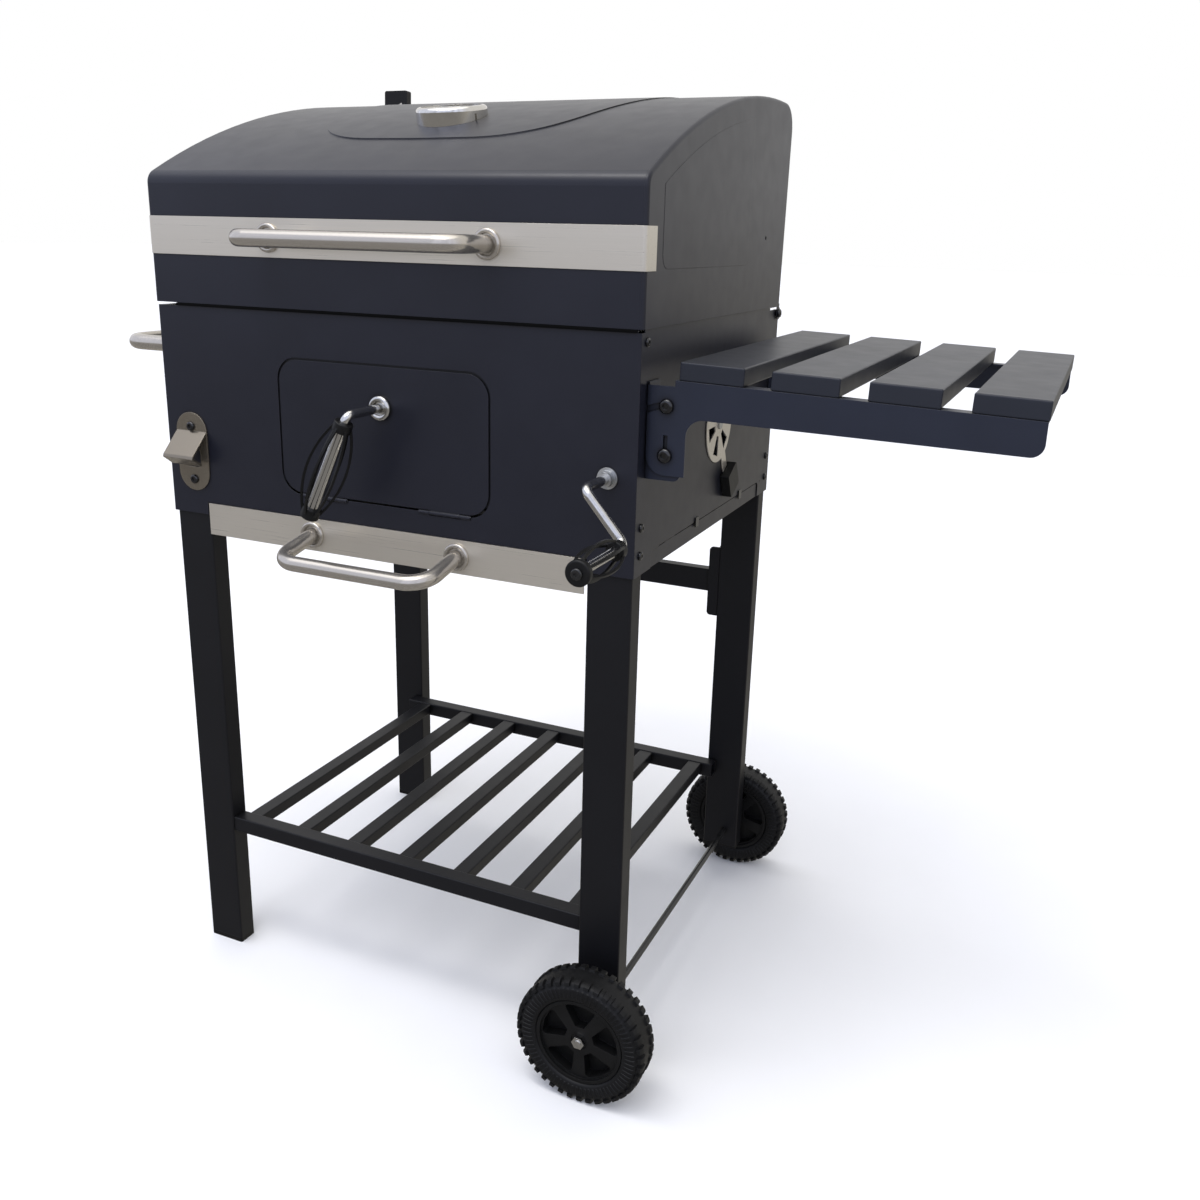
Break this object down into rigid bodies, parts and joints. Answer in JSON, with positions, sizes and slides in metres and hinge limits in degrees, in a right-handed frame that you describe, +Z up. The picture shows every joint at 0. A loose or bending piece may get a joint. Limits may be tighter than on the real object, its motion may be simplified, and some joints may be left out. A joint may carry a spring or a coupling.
{
  "type": "charcoal grill cart",
  "caption": "Rectangular charcoal grill on a wheeled leg cart with a hinged lid, coal door, crank-lifted pan, ash drawer, slatted fold-down side shelf and lower rack",
  "frame": {"origin": "middle of the bounding box seen from above, on the floor", "axes": "+X to the right towards the shelf and the wheels, +Y to the back, +Z up; the front faces -Y"},
  "size_m": [1.0504, 0.6978, 1.1173],
  "materials": {
    "body_paint": "satin powder coat, navy charcoal",
    "frame_paint": "satin black powder coat",
    "pan_enamel": "heat-proof black enamel",
    "zinc_steel": "zinc-plated steel",
    "stainless": "brushed stainless steel",
    "chrome": "chrome-plated steel rod",
    "black_plastic": "moulded, fine texture",
    "tyre": "moulded hard tread, matte",
    "black_screw": "blackened steel",
    "painted_board": "painted dark grey",
    "dial": "printed dial",
    "glass": "clear"
  },
  "bodies": {
    "cart": {"firebox_front_panel": "body_paint", "firebox_rear_panel": "body_paint", "firebox_left_side": "body_paint", "firebox_right_side": "body_paint", "firebox_floor": "body_paint", "coal_door_frame": "body_paint", "grate_ledges": "pan_enamel", "cooking_grate_left": "chrome", "cooking_grate_right": "chrome", "leg_front_left": "frame_paint", "leg_rear_left": "frame_paint", "leg_front_right": "frame_paint", "leg_rear_right": "frame_paint", "foot_caps": "black_plastic", "rear_crossbar": "frame_paint", "rack_rails": "frame_paint", "rack_slats": "frame_paint", "drawer_runners": "frame_paint", "axle": "black_screw", "bottle_opener": "stainless", "side_handle": "stainless", "crank_bearings": "zinc_steel", "shelf_hangers": "body_paint", "shelf_bolts": "black_screw", "body_screws": "black_screw", "pan_guides": "pan_enamel", "lid_hinge_pins": "black_screw", "door_hinge_pins": "zinc_steel", "damper_rivets": "zinc_steel"},
    "lid": {"lid_shell": "body_paint", "lid_sides": "body_paint", "lid_strip": "stainless", "lid_handle": "stainless", "thermometer_case": "stainless", "thermometer_dial": "dial", "thermometer_glass": "glass"},
    "lid_vent": {"lid_vent_disc": "stainless", "lid_vent_cap": "black_plastic"},
    "coal_door": {"coal_door": "body_paint"},
    "door_handle": {"door_handle": "chrome", "door_grip": "black_plastic"},
    "crank": {"crank_shaft": "chrome"},
    "crank_grip": {"crank_grip": "black_plastic"},
    "pan": {"charcoal_pan": "pan_enamel", "pan_lift_frame": "zinc_steel", "charcoal_grate": "chrome"},
    "ash_drawer": {"ash_tray": "zinc_steel", "drawer_front": "stainless", "drawer_handle": "stainless"},
    "right_damper": {"right_damper": "stainless", "right_damper_cap": "black_plastic"},
    "left_damper": {"left_damper": "stainless", "left_damper_cap": "black_plastic"},
    "shelf": {"shelf_bracket_front": "body_paint", "shelf_bracket_rear": "body_paint", "shelf_boards": "painted_board"},
    "front_wheel": {"front_wheel_tyre": "tyre", "front_wheel_hub": "black_plastic"},
    "rear_wheel": {"rear_wheel_tyre": "tyre", "rear_wheel_hub": "black_plastic"}
  },
  "joints": [
    {"name": "lid_hinge", "type": "hinge", "parent": "cart", "child": "lid", "pos_m": [-0.1412, 0.28745, 0.83], "axis": [-1, 0, 0], "range_deg": [0, 92]},
    {"name": "lid_vent_turn", "type": "hinge", "parent": "lid", "child": "lid_vent", "pos_m": [-0.3847, 0.29539, 1], "axis": [0, 0.9993, -0.0368], "range_deg": [0, 30]},
    {"name": "coal_door_hinge", "type": "hinge", "parent": "cart", "child": "coal_door", "pos_m": [-0.1402, -0.18395, 0.632], "axis": [1, 0, 0], "range_deg": [0, 50]},
    {"name": "door_handle_turn", "type": "hinge", "parent": "coal_door", "child": "door_handle", "pos_m": [-0.1392, -0.18455, 0.74], "axis": [0, -1, 0], "range_deg": [0, 90]},
    {"name": "pan_lift", "type": "slide", "parent": "cart", "child": "pan", "axis": [0, 0, 1], "range_m": [0, 0.06]},
    {"name": "crank_turn", "type": "hinge", "parent": "cart", "child": "crank", "pos_m": [0.1275, -0.18455, 0.6924], "axis": [0, 1, 0], "range_deg": [0, 344]},
    {"name": "crank_grip_spin", "type": "hinge", "parent": "crank", "child": "crank_grip", "pos_m": [0.1708, -0.28455, 0.64259], "axis": [0, 1, 0], "continuous": true},
    {"name": "ash_drawer_slide", "type": "slide", "parent": "cart", "child": "ash_drawer", "axis": [0, -1, 0], "range_m": [0, 0.38]},
    {"name": "right_damper_turn", "type": "hinge", "parent": "cart", "child": "right_damper", "pos_m": [0.1588, 0.06445, 0.715], "axis": [1, 0, 0], "range_deg": [0, 30]},
    {"name": "left_damper_turn", "type": "hinge", "parent": "cart", "child": "left_damper", "pos_m": [-0.4412, 0.06445, 0.715], "axis": [1, 0, 0], "range_deg": [0, 30]},
    {"name": "shelf_fold", "type": "hinge", "parent": "cart", "child": "shelf", "pos_m": [0.1798, 0.06445, 0.7174], "axis": [0, 1, 0], "range_deg": [0, 88]},
    {"name": "front_wheel_spin", "type": "hinge", "parent": "cart", "child": "front_wheel", "pos_m": [0.1378, -0.22905, 0.0765], "axis": [0, 1, 0], "continuous": true},
    {"name": "rear_wheel_spin", "type": "hinge", "parent": "cart", "child": "rear_wheel", "pos_m": [0.1378, 0.32795, 0.0765], "axis": [0, 1, 0], "continuous": true}
  ],
  "couplings": [
    {"joint": "crank_turn", "follows": "pan_lift", "rad_per_m": 100}
  ]
}
